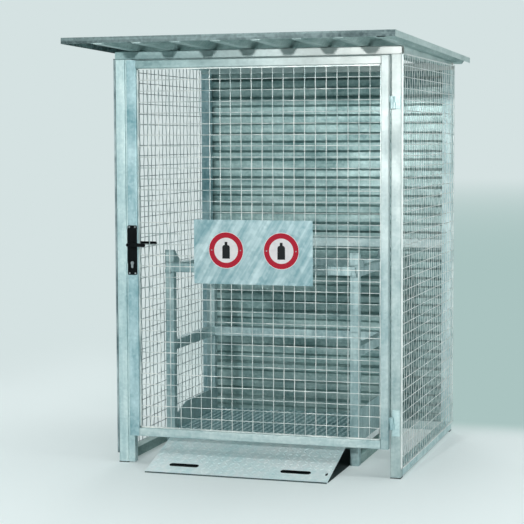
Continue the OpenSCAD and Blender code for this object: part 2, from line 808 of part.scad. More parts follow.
// Side plates that keep the load on the deck, cut back at the front
module rack_kick_plates() {
  y0 = rack_y + rack_post; y1 = ry1 - rack_post;
  placed() color(galv_dark) for (x = [rx0 + rack_post - kick_t, rx1 - rack_post])
    translate([x, 0, 0]) rotate([90, 0, 90]) linear_extrude(kick_t)
      polygon([[y0, kick_low], [y1, kick_low], [y1, kick_z],
               [y0 + kick_cut_l, kick_z], [y0, kick_z - kick_cut_h]]);
}

module rack_deck() {
  placed() color(galv) translate([rx0 + rack_post, rack_y, deck_low])
    cube([rack_w - 2*rack_post, rack_d, deck_t]);
}

// Cross beams under the deck, from post to post
module rack_bearers() {
  placed() color(galv_dark) for (y = [rack_y, (rack_y + ry1 - rack_post)/2, ry1 - rack_post])
    translate([rx0 + rack_post, y, deck_low - bearer_h]) tube([rack_w - 2*rack_post, rack_post, bearer_h], 0);
}

module rack_skids() {
  placed() color(galv_dark) for (x = [rx0, rx1 - rack_post])
    translate([x, rack_y + rack_post, 0]) tube([rack_post, rack_d - 2*rack_post, skid_h], 1);
}

// Open hooks on the front posts that the front bar drops into
module rack_bar_hooks() {
  y0 = bar_y - hook_play - hook_t;
  placed() color(galv) for (x = [rx0 + (rack_post - hook_w)/2, rx1 - (rack_post + hook_w)/2])
    union() {
      translate([x, y0, bar_z - hook_t]) cube([hook_w, rack_y - y0, hook_t]);
      translate([x, y0, bar_z - hook_t]) cube([hook_w, hook_t, hook_t + hook_lip]);
    }
}

module rack_front_bar() {
  placed() color(galv) translate([rx0 + bar_in, bar_y, bar_z]) tube([rack_w - 2*bar_in, bar_t, bar_h], 0);
}

// Places things on the ramp: x across, y from the axis, square to the plate
module on_ramp() {
  placed() translate([rack_x, ramp_y, ramp_axis_z]) rotate([ramp_a, 0, 0]) children();
}

module ramp_knuckles() {
  placed() color(galv_dark) for (x = knuckle_xs)
    translate([rack_x + x - ramp_fix_l/2, ramp_y, ramp_axis_z]) difference() {
      union() {
        rotate([0, 90, 0]) cylinder(d = ramp_knuckle, h = ramp_fix_l, $fn = 48);
        translate([0, 0, -ramp_knuckle/2]) cube([ramp_fix_l, ramp_off, ramp_knuckle/2 + knuckle_seat]);
      }
      translate([-1, 0, 0]) rotate([0, 90, 0]) cylinder(r = ramp_pin_d/2 + run, h = ramp_fix_l + 2, $fn = 48);
    }
}

module slot_cut(l, w) {
  union() {
    translate([-l/2 + w/2, -w/2, -deck_t]) cube([l - w, w, 2*deck_t]);
    for (s = [-1, 1]) translate([s*(l/2 - w/2), 0, -deck_t]) cylinder(d = w, h = 2*deck_t, $fn = 48);
  }
}

module ramp_plate() {
  on_ramp() color(galv) difference() {
    union() {
      translate([-ramp_w/2, -ramp_len, -deck_t/2]) cube([ramp_w, ramp_len - ramp_clear, deck_t]);
      for (x = knuckle_xs, s = [-1, 1])
        translate([x + s*(ramp_fix_l/2 + slide_gap) + (s < 0 ? -ramp_mov_l : 0), 0, 0])  {
          translate([0, -ramp_clear - 1, -deck_t/2]) cube([ramp_mov_l, ramp_clear + 1, deck_t]);
          rotate([0, 90, 0]) cylinder(d = ramp_knuckle, h = ramp_mov_l, $fn = 48);
        }
    }
    translate([-ramp_w, 0, 0]) rotate([0, 90, 0]) cylinder(r = ramp_pin_d/2 + run/4, h = 2*ramp_w, $fn = 48);
    for (s = [-1, 1]) translate([s*slot_x, -ramp_len + slot_in, 0]) slot_cut(slot_l, slot_w);
    translate([ramp_w/2 - catch_in, -ramp_len + slot_in, 0]) rotate([0, 0, 90]) slot_cut(catch_l, catch_w);
  }
}

module ramp_pin() {
  l = 2*(ramp_knuckle_x + ramp_fix_l/2 + ramp_mov_l);
  on_ramp() color(galv) translate([-l/2, 0, 0]) rotate([0, 90, 0]) cylinder(d = ramp_pin_d, h = l, $fn = 48);
}

feet();
post_at(-hw, 0, post_h);  // post_front_left
post_at(hw - post, 0, post_h);  // post_front_right
post_at(-hw, frame_d - post, back_top - beam_h);  // post_back_left
post_at(hw - post, frame_d - post, back_top - beam_h);  // post_back_right
lock_jamb();
header();
back_beam();
side_beam(-hw);  // side_beam_left
side_beam(hw - post);  // side_beam_right
sill_side(-hw);  // sill_left
sill_side(hw - post);  // sill_right
rail_back(foot_t, sill_h);  // sill_back
rail_back(mid_z, post);  // mid_rail_back
mesh_side(-1);  // mesh_left
mesh_side(1);  // mesh_right
back_sheet();
roof_sheet();
roof_trim_front();
roof_trim_side(-1);  // roof_trim_left
roof_trim_side(1);  // roof_trim_right
roof_screws();
keep();
hinge_post(hinge_hi_z, knuckle_h);  // hinge_upper_post
hinge_post(hinge_lo_z, leaf_lo_h);  // hinge_lower_post
door_stile_lock();
door_stile_hinge();
door_rail(door_z1 - door_rail);  // door_rail_top
door_rail(door_z);  // door_rail_bottom
door_mesh();
sign_plate();
hinge_door(hinge_hi_z);  // hinge_upper_door
hinge_door(hinge_lo_z);  // hinge_lower_door
lock_case();
lock_plate_outer();
lock_plate_inner();
lock_screws();
key_cylinder();
key_plug();
dead_bolt();
latch_bolt();
lever(plate_y, -1, lever_reach);  // lever_outer
lever(door_y1 + plate_in_t, 1, lever_reach);  // lever_inner
lever_spindle();
rack_post_at(rx0, 0);  // rack_post_front_left
rack_post_at(rx1 - rack_post, 0);  // rack_post_front_right
rack_post_at(rx0, 1);  // rack_post_back_left
rack_post_at(rx1 - rack_post, 1);  // rack_post_back_right
rack_rails_side(rx0);  // rack_rails_left
rack_rails_side(rx1 - rack_post);  // rack_rails_right
rack_rails_back();
rack_kick_plates();
rack_deck();
rack_bearers();
rack_skids();
rack_bar_hooks();
rack_front_bar();
ramp_knuckles();
ramp_plate();
ramp_pin();
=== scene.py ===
# %% [markdown]
# # The gas cylinder cabinet
# The real thing is a welded cage of galvanised square tube. Wire mesh fills its sides and its
# door, ribbed sheet makes the back wall and the roof, and a rack with a loading ramp stands
# inside. Every load-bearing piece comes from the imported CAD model. Blender adds what is too
# fine for it: crimped wires, raised treads, the edging of the hand slots, the round plates on
# the sign, and the look of each metal. Sizes are in metres.

# %% Load the frame
import json
import math

import bmesh
import bpy
from mathutils import Matrix, Vector


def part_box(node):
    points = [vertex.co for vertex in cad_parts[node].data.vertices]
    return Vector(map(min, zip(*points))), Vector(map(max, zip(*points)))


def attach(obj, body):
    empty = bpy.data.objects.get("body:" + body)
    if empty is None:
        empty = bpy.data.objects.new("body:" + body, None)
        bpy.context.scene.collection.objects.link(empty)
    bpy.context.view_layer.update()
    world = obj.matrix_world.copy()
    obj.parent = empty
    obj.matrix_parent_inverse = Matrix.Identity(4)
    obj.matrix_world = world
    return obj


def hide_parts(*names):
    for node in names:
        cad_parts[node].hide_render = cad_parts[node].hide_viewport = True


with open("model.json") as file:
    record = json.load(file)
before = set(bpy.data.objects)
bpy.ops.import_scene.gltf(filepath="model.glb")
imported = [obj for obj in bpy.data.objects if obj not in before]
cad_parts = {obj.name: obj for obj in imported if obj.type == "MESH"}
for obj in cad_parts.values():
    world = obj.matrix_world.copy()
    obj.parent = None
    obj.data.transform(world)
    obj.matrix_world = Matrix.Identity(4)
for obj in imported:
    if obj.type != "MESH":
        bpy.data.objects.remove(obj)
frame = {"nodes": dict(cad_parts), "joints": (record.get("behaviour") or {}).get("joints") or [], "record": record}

nodes = frame["nodes"]
joints = {joint["name"]: joint for joint in frame["joints"]}
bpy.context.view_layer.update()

# %% [markdown]
# ## Camera
# The photograph was taken from about eye height, a little to the right of the door, with a long
# lens. The numbers below came from matching some thirty points of the cage: where the camera
# stands, which way it looks, and how long its lens is.

# %% Camera
FILM_WIDE = 36.0                     # width of the camera's film, in millimetres
PHOTO_SIDE = 524                     # pixels along the photograph's side
FOCAL_PIXELS = 1562.0                # focal length in those pixels
CAMERA_PLACE = (2.2719, -7.5926, 1.5997)  # metres in the shared frame
CAMERA_YAW = 17.43                   # degrees to the left of straight ahead
CAMERA_PITCH = -4.483                # degrees above the horizon
CAMERA_ROLL = -0.243                 # degrees against the clock


def make_camera():
    """A camera at the photograph's viewpoint."""
    data = bpy.data.cameras.new("camera")
    data.sensor_width = FILM_WIDE
    data.lens = FILM_WIDE * FOCAL_PIXELS / PHOTO_SIDE
    camera = bpy.data.objects.new("camera", data)
    bpy.context.scene.collection.objects.link(camera)
    turn = Matrix.Rotation(math.radians(CAMERA_YAW), 4, "Z")
    tilt = Matrix.Rotation(math.radians(90 + CAMERA_PITCH), 4, "X")
    roll = Matrix.Rotation(math.radians(CAMERA_ROLL), 4, "Z")
    camera.matrix_world = Matrix.Translation(CAMERA_PLACE) @ turn @ tilt @ roll
    bpy.context.scene.camera = camera
    return camera


camera = make_camera()
print("lens", round(camera.data.lens, 1), "mm")

# %% [markdown]
# ## Writing materials as sums
# A finish is mostly arithmetic on patterns: a little more of this noise, less of that one. It
# could be wired node by node, but then one sum takes a dozen lines. One small class lets
# Python's own operators add the Math nodes, and one method adds every other node. That keeps
# each finish as short as its description.

# %% Sums on sockets
class Signal:
    """One output socket. Python's operators on it add Math nodes."""

    def __init__(self, finish, socket):
        self.finish = finish
        self.socket = socket

    def math(self, operation, other, flipped=False):
        """Adds one Math node for this socket and another socket or number."""
        first, second = (other, self) if flipped else (self, other)
        return self.finish.add("ShaderNodeMath", {"operation": operation}, {0: first, 1: second})

    def __add__(self, other):
        return self.math("ADD", other)

    def __sub__(self, other):
        return self.math("SUBTRACT", other)

    def __mul__(self, other):
        return self.math("MULTIPLY", other)

    def __radd__(self, other):
        return self.math("ADD", other)

    def __rsub__(self, other):
        return self.math("SUBTRACT", other, flipped=True)

    def __rmul__(self, other):
        return self.math("MULTIPLY", other)

    def __gt__(self, other):
        return self.math("GREATER_THAN", other)

    def __lt__(self, other):
        return self.math("LESS_THAN", other)


print("operators ready: + - * > <")

# %% Finish kit
class Finish:
    """A material that is built node by node."""

    def __init__(self, name):
        self.material = bpy.data.materials.new(name)
        self.material.use_nodes = True
        self.tree = self.material.node_tree
        self.tree.nodes.clear()

    def add(self, kind, settings=None, sockets=None, output=0):
        """Adds one node, sets it, feeds its sockets and gives one of its outputs."""
        node = self.tree.nodes.new(kind)
        for key, value in (settings or {}).items():
            setattr(node, key, value)
        for key, value in (sockets or {}).items():
            if isinstance(value, Signal):
                self.tree.links.new(value.socket, node.inputs[key])
            else:
                node.inputs[key].default_value = value
        return Signal(self, node.outputs[output])

    def place(self, stretch=(1, 1, 1), turn=(0, 0, 0)):
        """Object coordinates, turned back and then stretched along their axes."""
        here = self.add("ShaderNodeTexCoord", output="Object")
        if turn == (0, 0, 0):
            return self.add("ShaderNodeMapping", {}, {"Vector": here, "Scale": stretch})
        shares = tuple(1 / share for share in stretch)
        return self.add("ShaderNodeMapping", {"vector_type": "TEXTURE"},
                        {"Vector": here, "Scale": shares, "Rotation": turn})

    def along(self, axis):
        """The object coordinate along one axis."""
        return self.add("ShaderNodeSeparateXYZ", {}, {0: self.place()}, output=axis)

    def noise(self, where, scale, detail=3.0, roughness=0.55):
        """Soft noise between 0 and 1."""
        return self.add("ShaderNodeTexNoise", {},
                        {"Vector": where, "Scale": scale, "Detail": detail, "Roughness": roughness})

    def ramp(self, value, start, end, curve="SMOOTHSTEP"):
        """0 up to start, 1 from end on, and a rise between them."""
        return self.add("ShaderNodeMapRange", {"interpolation_type": curve},
                        {"Value": value, "From Min": start, "From Max": end})

    def mix(self, amount, first, second):
        """A colour between two colours."""
        return self.add("ShaderNodeMix", {"data_type": "RGBA", "clamp_factor": True},
                        {0: amount, 6: first, 7: second}, output=2)

    def bump(self, height, distance, strength):
        """A relief from a height pattern, whose 1 stands for the distance in metres."""
        return self.add("ShaderNodeBump", {},
                        {"Height": height, "Distance": distance, "Strength": strength})

    def surface(self, **values):
        """The Principled shader, with underscores in its socket names for spaces."""
        sockets = {name.replace("_", " "): value for name, value in values.items()}
        shader = self.add("ShaderNodeBsdfPrincipled", {}, sockets)
        self.add_output(shader)
        return self.material

    def add_output(self, shader):
        """Makes a shader the material's surface."""
        end = self.tree.nodes.new("ShaderNodeOutputMaterial")
        self.tree.links.new(shader.socket, end.inputs["Surface"])


print("finish kit ready")

# %% Colours from the screen
def colour(red, green, blue):
    """A colour given as it looks on a screen, from 0 to 255, as Blender's linear colour."""
    parts = [part / 255 for part in (red, green, blue)]
    linear = [part / 12.92 if part <= 0.04045 else ((part + 0.055) / 1.055) ** 2.4 for part in parts]
    return (*linear, 1.0)


print("middle grey", round(colour(128, 128, 128)[0], 3))

# %% [markdown]
# ## Hot-dip zinc
# A welded frame is dipped whole into molten zinc. The skin that it comes out with is pale, with
# clouds where it cooled at different rates, faint crystals, and runs in the direction in which
# it drained. Three patterns at three scales give that: clouds of a hand's length, runs
# stretched along the tube, and crystals of a centimetre. The clouds also steer the roughness,
# because the dull ones are the rough ones too. The upper right of the cage is whitest as a
# painted highlight, where the light glints off the zinc, so one slow ramp over x and z adds
# that. The ramp's lower edge can be darkened as painted shade, for the shadow gap under it.
# All of it is worked out from the place on the part, so it needs no image and shows no seam.

# %% Zinc finish
CLOUD_SCALE = 5.0                    # noise scale of the clouds
RUN_SCALE = 26.0                     # noise scale of the runs, before they are stretched
FINE_SCALE = 420.0                   # noise scale of the fine grain
CONTRAST = 2.6                       # how far clouds and runs swing between the two tones
CRYSTAL_SHARE = 0.28                 # how far the crystals do
ROUGH_SWING = 0.40                   # how much rougher the dull clouds are
ZINC_RELIEF = 0.0006                 # height of the relief for each 1 of its pattern
RELIEF_SHARES = (0.5, 0.5, 2.0)      # of fine grain, crystals and clouds in that pattern
PAINTED_HIGHLIGHT = colour(234, 232, 228)       # painted highlight, whitest at the cage's upper right
HIGHLIGHT_RISE = (1.3, 2.9)             # x + z, in metres, from which and up to which it rises
PAINTED_EDGE_SHADE = colour(74, 94, 94)        # painted shade on the ramp's lower edge, for the shadow gap under it


def zinc(name, pale, deep, run=(1, 1, 0.12), run_turn=(0, 0, 0), run_share=0.5,
         metal=0.45, rough=0.48, crystal=0.012, highlight_share=0.0, edge_shade_at=None):
    """Galvanised steel between two tones with runs, and with painted highlight and edge shade if asked."""
    f = Finish(name)
    clouds = f.noise(f.place(), CLOUD_SCALE, detail=4.0)
    runs = f.noise(f.place(run, run_turn), RUN_SCALE, roughness=0.6)
    crystals = f.add("ShaderNodeTexVoronoi", {"feature": "SMOOTH_F1"},
                     {"Vector": f.place(), "Scale": 1 / crystal, "Smoothness": 0.6}, output="Color")
    crystal_tone = f.add("ShaderNodeSeparateColor", {}, {"Color": crystals})
    blend = clouds * (1.0 - run_share) + runs * run_share
    spread = (blend - 0.5) * CONTRAST + 0.5 + (crystal_tone - 0.5) * CRYSTAL_SHARE
    tone = f.mix(spread, deep, pale)
    # painted highlight: whiter towards the cage's upper right
    if highlight_share:
        highlight_amount = f.ramp(f.along("X") + f.along("Z"), *HIGHLIGHT_RISE) * highlight_share
        tone = f.mix(highlight_amount, tone, PAINTED_HIGHLIGHT)
    if edge_shade_at is not None:
        # painted shade on the ramp's lower edge, where a shadow gap lies under it
        tone = f.mix(f.along("Y") < edge_shade_at, tone, PAINTED_EDGE_SHADE)
    fine = f.noise(f.place(), FINE_SCALE, detail=2.0)
    relief = fine * RELIEF_SHARES[0] + crystal_tone * RELIEF_SHARES[1] + clouds * RELIEF_SHARES[2]
    return f.surface(Base_Color=tone, Metallic=metal, Roughness=rough + ROUGH_SWING * (0.5 - clouds),
                     Normal=f.bump(relief, ZINC_RELIEF, strength=0.5))


print("zinc recipe ready")

# %% The cage's zincs
UP_RIGHT = (0, math.radians(30), 0)  # leans a run along Z over to the right
EDGE_SHADE_DEEP = 0.003                     # depth of that painted shade on the ramp's lower edge
ramp_low, ramp_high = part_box("ramp_plate")

# Some finishes take a share of painted highlight, whitest at the cage's upper right.
post_zinc = zinc("post zinc", colour(222, 240, 239), colour(154, 188, 192))
right_post_zinc = zinc("right post zinc", colour(198, 212, 210), colour(132, 160, 162),
                       highlight_share=0.5)
lock_stile_zinc = zinc("lock stile zinc", colour(196, 222, 226), colour(112, 156, 164),
                       run=(1, 1, 0.3))
door_zinc = zinc("door zinc", colour(196, 212, 211), colour(136, 164, 167), run=(1, 1, 0.16),
                 highlight_share=0.5)
# painted shade of the roof on the header and the top rail, with more painted highlight at the right
shaded_header_zinc = zinc("shaded header zinc", colour(166, 192, 192), colour(106, 138, 140), run=(0.12, 1, 1),
                   highlight_share=0.75)
beam_zinc = zinc("beam zinc", colour(218, 230, 228), colour(144, 176, 179), run=(0.12, 1, 1),
                 highlight_share=0.8)
rack_zinc = zinc("rack zinc", colour(190, 212, 212), colour(120, 152, 156))
sheet_zinc = zinc("sheet zinc", colour(176, 200, 198), colour(92, 126, 126), run=(0.10, 1, 1),
                  metal=0.6, rough=0.40)
roof_zinc = zinc("roof zinc", colour(182, 202, 200), colour(112, 142, 141), run=(1, 0.08, 1),
                 run_share=0.6, metal=0.3, rough=0.58)
trim_zinc = zinc("trim zinc", colour(142, 162, 162), colour(48, 66, 68), run=(0.03, 1, 1),
                 run_share=0.85, metal=0.5)
# painted light: the roof's right trim and right side beam are paler, lit from the right
lit_side_zinc = zinc("lit side zinc", colour(208, 224, 222), colour(158, 182, 180),
                      run=(1, 0.05, 1), metal=0.2, rough=0.6)
# the ramp plate, with a painted shade along its lower edge
plate_zinc = zinc("plate zinc", colour(246, 254, 254), colour(204, 234, 236), run=(1, 0.3, 1),
                  run_share=0.4, metal=0.12, rough=0.55, edge_shade_at=ramp_low.y + EDGE_SHADE_DEEP)
# painted shade: the deck inside the cage is darker than the same plate on the ramp
shaded_deck_zinc = zinc("shaded deck zinc", colour(158, 198, 202), colour(84, 126, 132), run=(1, 0.4, 1),
                 metal=0.25, rough=0.5)
# painted shade: the left sill and the rack's skids and bearers sit low in shade
shaded_sill_zinc = zinc("shaded sill zinc", colour(170, 196, 192), colour(96, 126, 122), run=(1, 0.12, 1))
sign_zinc = zinc("sign zinc", colour(200, 220, 222), colour(104, 148, 156), run=(1, 1, 0.08),
                 run_turn=UP_RIGHT, run_share=0.8, metal=0.35, crystal=0.02)
print("zinc finishes", sum(material.name.endswith("zinc") for material in bpy.data.materials))

# %% [markdown]
# ## Wire, hardware and plastic
# The mesh is drawn wire, brighter than the frame and with a thin, smooth skin. The lock's
# moving parts are plated and nearly bare. Its plates and levers are black plastic over steel,
# with the fine grain of the mould. Nothing drains along such small pieces, so they need no
# runs: a slow noise for the tone and a fine one for the grain do, and plated steel needs only
# the fine one.

# %% Wire, hardware and plastic finishes
WIRE_CONTRAST = 2.4                  # how far a wire's clouds swing between its two tones
WIRE_ROUGH = (0.35, 0.15)            # roughness of a wire, and what its clouds add
PLATED_ROUGH = (0.28, 0.12)          # roughness of plated steel, and what its grain adds
PLASTIC_ROUGH = (0.52, 0.16)         # roughness of plastic, and what its wear adds
PLASTIC_SHEEN = 0.08                 # specular level of such dull plastic
WEAR_FROM = 0.45                     # wear at which plastic begins to turn paler
WEAR_GAIN = 1.6                      # how fast it turns


def wire_finish(name, pale, deep, metal=0.6):
    """Drawn and zinc-plated wire: slow clouds of tone over a fine grain."""
    f = Finish(name)
    clouds = f.noise(f.place(), scale=9.0)
    tone = f.mix((clouds - 0.5) * WIRE_CONTRAST + 0.5, deep, pale)
    fine = f.noise(f.place(), scale=900.0, detail=2.0)
    rough = WIRE_ROUGH[0] + WIRE_ROUGH[1] * clouds
    return f.surface(Base_Color=tone, Metallic=metal, Roughness=rough,
                     Normal=f.bump(fine, distance=0.0002, strength=0.4))


def hardware_finish():
    """Plated steel with faint level brush marks."""
    f = Finish("plated hardware")
    fine = f.noise(f.place((1, 1, 8)), scale=300.0, detail=2.0)
    tone = f.mix(fine, colour(128, 136, 140), colour(176, 184, 186))
    rough = PLATED_ROUGH[0] + PLATED_ROUGH[1] * fine
    return f.surface(Base_Color=tone, Metallic=0.9, Roughness=rough,
                     Normal=f.bump(fine, distance=0.0001, strength=0.3))


def plastic_finish(name, dark, worn):
    """Dark plastic with the mould's grain, a little paler where it is worn."""
    f = Finish(name)
    grain = f.noise(f.place(), scale=1600.0, detail=2.0)
    wear = f.noise(f.place(), scale=22.0, detail=4.0)
    tone = f.mix((wear - WEAR_FROM) * WEAR_GAIN, dark, worn)
    rough = PLASTIC_ROUGH[0] + PLASTIC_ROUGH[1] * wear
    return f.surface(Base_Color=tone, Roughness=rough, Specular_IOR_Level=PLASTIC_SHEEN,
                     Normal=f.bump(grain, distance=0.0002, strength=0.5))


print("wire, hardware and plastic recipes ready")

# %% The cage's wires, hardware and plastics
door_wire = wire_finish("door wire zinc", colour(240, 242, 238), colour(158, 176, 176))
# painted shade and light: the left panel, seen from inside, is darker; the right one, lit from the side, paler
shaded_left_wire = wire_finish("shaded left wire zinc", colour(176, 192, 194), colour(92, 112, 116))
lit_right_wire = wire_finish("lit right wire zinc", colour(244, 247, 245), colour(196, 210, 208), metal=0.2)
hardware = hardware_finish()
black_plastic = plastic_finish("black plastic", colour(5, 9, 11), colour(20, 27, 30))
foot_plastic = plastic_finish("foot plastic", colour(30, 40, 40), colour(52, 64, 64))
other_finishes = (door_wire, shaded_left_wire, lit_right_wire, hardware, black_plastic, foot_plastic)
print("other finishes", [finish.name for finish in other_finishes])

# %% [markdown]
# ## Dressing the CAD nodes
# The record gives every node a material slot. Nodes that share a slot but lie differently, such
# as an upright post and a level beam, get their own finish, so that the runs follow each tube.
# So do a few whose tone holds painted light or shade: the header and the deck are darker as
# painted shade, so are the sills, skids and bearers, and the right side trim and beam are paler
# as painted light. A short table names them, and every other node takes the finish of its slot.

# %% Finish of every node
slot_finish = {
    "galvanised_steel": post_zinc,
    "zinc_sheet": sheet_zinc,
    "zinc_trim": trim_zinc,
    "galvanised_wire": door_wire,
    "black_plastic": black_plastic,
    "foot_plastic": foot_plastic,
    "sign_sheet": sign_zinc,
    "chequer_plate": plate_zinc,
    "bright_hardware": hardware,
}
finish_nodes = (                     # the nodes that each special finish is for
    (beam_zinc, ("back_beam", "sill_back", "mid_rail_back", "door_rail_bottom")),
    (shaded_header_zinc, ("header", "door_rail_top")),
    (lock_stile_zinc, ("door_stile_lock", "post_back_left")),
    (door_zinc, ("door_stile_hinge",)),
    (right_post_zinc, ("post_front_right",)),
    (roof_zinc, ("roof_sheet",)),
    (shaded_deck_zinc, ("rack_deck",)),
    (lit_side_zinc, ("roof_trim_right", "side_beam_right")),
    (shaded_sill_zinc, ("sill_left", "rack_skids", "rack_bearers")),
)
node_finish = {node: finish for finish, names in finish_nodes for node in names}


def finish_of(node, slot):
    """The node's own finish, or else the one of the rack or of its slot."""
    if node in node_finish:
        return node_finish[node]
    if slot == "galvanised_steel" and node.startswith("rack"):
        return rack_zinc
    return slot_finish[slot]


for part in frame["record"]["subparts"]:
    node_object = nodes[part["node"]]
    node_object.data.materials.clear()
    node_object.data.materials.append(finish_of(part["node"], part["material_slot"]))

# %% [markdown]
# ## A helper for new pieces
# Every added piece is a bmesh that becomes one object at the origin, rides on the body that
# carries it, and takes its finish. One function does all of that, so that no piece misses a
# step.

# %% Piece helper
def make_piece(name, shape, finish, body, smooth=False):
    """Turns a bmesh into a piece that rides on a body."""
    mesh = bpy.data.meshes.new(name)
    shape.to_mesh(mesh)
    shape.free()
    if smooth:
        mesh.shade_smooth()
    mesh.materials.append(finish)
    piece = bpy.data.objects.new(name, mesh)
    bpy.context.scene.collection.objects.link(piece)
    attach(piece, body)
    return piece


def add_box(shape, low, high):
    """Adds a box between two corners to a bmesh."""
    size = [b - a for a, b in zip(low, high)]
    middle = [(a + b) / 2 for a, b in zip(low, high)]
    place = Matrix.Translation(middle) @ Matrix.Diagonal((*size, 1))
    bmesh.ops.create_cube(shape, size=1.0, matrix=place)


print("piece helper ready")

# %% [markdown]
# ## Crimped wire mesh
# Such mesh is woven from wires that were bent into a wave first, so each wire passes over one
# neighbour and under the next. The CAD panels hold the right space with straight wires in two
# layers. Here each wire becomes a poly curve with a round section that swings a little to
# either side. Two wires that cross meet and fuse there, because the mesh is also welded. A
# flat sheet with a picture of wires would look thin from the side, so the curves are turned
# into one real mesh.

# %% Crimped wires
WIRE = 0.004                         # diameter of the wire
SWING = 0.0012                       # how far a wire bends to either side
STEPS = 4                            # points of the wave for each crossing


def wave_points(start, along, side, length, crossings, phase):
    """Points of one crimped wire from start, which swings to the side at each crossing."""
    points = []
    for step in range(crossings * STEPS + 1):
        swing = math.cos(math.pi * step / STEPS + phase * math.pi) * SWING
        points.append(start + along * (length * step / (crossings * STEPS)) + side * swing)
    return points


def wire_curve(name, lines, radius=WIRE / 2, closed=False, sides=1):
    """One mesh of round wires along lists of points."""
    data = bpy.data.curves.new(name, "CURVE")
    data.dimensions = "3D"
    data.bevel_depth = radius
    data.bevel_resolution = sides
    for line in lines:
        spline = data.splines.new("POLY")
        spline.use_cyclic_u = closed
        spline.points.add(len(line) - 1)
        for point, place in zip(spline.points, line):
            point.co = (*place, 1)
    holder = bpy.data.objects.new(name, data)
    bpy.context.scene.collection.objects.link(holder)
    mesh = bpy.data.meshes.new_from_object(holder.evaluated_get(bpy.context.evaluated_depsgraph_get()))
    bpy.data.objects.remove(holder)
    return mesh


print("wire", WIRE * 1000, "mm thick")

# %% Crimped mesh panels
PITCH = 0.053                        # from wire to wire
EDGE = 0.006                         # width of the flat edge bar
ALONG_X = Vector((1, 0, 0))
ALONG_Y = Vector((0, 1, 0))


def crimped_panel(node, across, body, finish):
    """A crimped panel in the place of a CAD panel that lies along the across axis and Z."""
    low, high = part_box(node)
    up = Vector((0, 0, 1))
    side = up.cross(across)
    middle = (low + high) / 2
    size = high - low
    width = abs(size.dot(across))
    height = size.z
    columns = round((width - EDGE) / PITCH)
    rows = round((height - EDGE) / PITCH)
    column_pitch = (width - EDGE) / columns
    row_pitch = (height - EDGE) / rows
    corner = middle - across * (width - EDGE) / 2 - up * (height - EDGE) / 2
    uprights = [wave_points(corner + across * i * column_pitch, up, side, height - EDGE, rows, i)
                for i in range(1, columns)]
    levels = [wave_points(corner + up * k * row_pitch, across, side, width - EDGE, columns, k + 1)
              for k in range(1, rows)]
    shape = bmesh.new()
    shape.from_mesh(wire_curve(node + "_wires", uprights + levels))
    for face in shape.faces:
        face.smooth = True
    thick = abs(side.dot(size))
    for wide, tall, offset in (
        (EDGE, height, across * (width - EDGE) / 2),
        (EDGE, height, across * (EDGE - width) / 2),
        (width, EDGE, up * (height - EDGE) / 2),
        (width, EDGE, up * (EDGE - height) / 2),
    ):
        half = (Vector([abs(v) for v in across]) * wide + up * tall
                + Vector([abs(v) for v in side]) * thick) / 2
        add_box(shape, middle + offset - half, middle + offset + half)
    piece = make_piece(node + "_crimped", shape, finish, body)
    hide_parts(node)
    return piece


panels = [crimped_panel("door_mesh", ALONG_X, "door", door_wire),
          crimped_panel("mesh_left", ALONG_Y, "frame", shaded_left_wire),
          crimped_panel("mesh_right", ALONG_Y, "frame", lit_right_wire)]
for panel in panels:
    print(panel.name, len(panel.data.polygons), "faces")

# %% [markdown]
# ## Treads
# The ramp and the deck are tread plate: steel rolled with raised lenses that lie square to one
# another. A bump in the material would vanish at the low angle from which a ramp is seen, so
# the lenses are real. One lens is a squeezed circle, lifted and drawn in at the top. Copies of
# it cover the plate in a grid, each turned square to its neighbours, and none stands where a
# slot is cut.

# %% Tread plate
TREAD_PITCH = 0.032                  # from lens to lens
TREAD_LONG = 0.026                   # length of a lens
TREAD_WIDE = 0.0085                  # width of a lens
TREAD_HIGH = 0.0014                  # height of a lens
TREAD_TOP = (0.72, 0.45, 1)          # size of a lens at its top, as shares of its foot
TREAD_SIDES = 10                     # corners of a lens


def lens_mesh():
    """One raised lens, lying along X with its foot on z = 0."""
    shape = bmesh.new()
    foot = bmesh.ops.create_circle(shape, segments=TREAD_SIDES, radius=0.5, cap_ends=True)
    bmesh.ops.scale(shape, vec=(TREAD_LONG, TREAD_WIDE, 1), verts=foot["verts"])
    raised = bmesh.ops.extrude_face_region(shape, geom=shape.faces[:])
    top = [v for v in raised["geom"] if isinstance(v, bmesh.types.BMVert)]
    bmesh.ops.translate(shape, vec=(0, 0, TREAD_HIGH), verts=top)
    bmesh.ops.scale(shape, vec=TREAD_TOP, verts=top)
    bmesh.ops.recalc_face_normals(shape, faces=shape.faces[:])
    mesh = bpy.data.meshes.new("lens")
    shape.to_mesh(mesh)
    shape.free()
    return mesh


def tread_field(name, low, high, free, body, place):
    """Lenses over a rectangle on z = 0, where free(x, y) allows, moved to their place."""
    lens = lens_mesh()
    shape = bmesh.new()
    columns = int((high[0] - low[0]) / TREAD_PITCH)
    rows = int((high[1] - low[1]) / TREAD_PITCH)
    margin_x = (high[0] - low[0] - (columns - 1) * TREAD_PITCH) / 2
    margin_y = (high[1] - low[1] - (rows - 1) * TREAD_PITCH) / 2
    for i in range(columns):
        for k in range(rows):
            x = low[0] + margin_x + i * TREAD_PITCH
            y = low[1] + margin_y + k * TREAD_PITCH
            if not free(x, y):
                continue
            lean = math.radians(45 if (i + k) % 2 else -45)
            first = len(shape.verts)
            shape.from_mesh(lens)
            shape.verts.ensure_lookup_table()
            move = place @ Matrix.Translation((x, y, 0)) @ Matrix.Rotation(lean, 4, "Z")
            bmesh.ops.transform(shape, matrix=move, verts=shape.verts[first:])
    return make_piece(name, shape, plate_zinc, body)


print("lens", TREAD_LONG * 1000, "by", TREAD_WIDE * 1000, "mm")

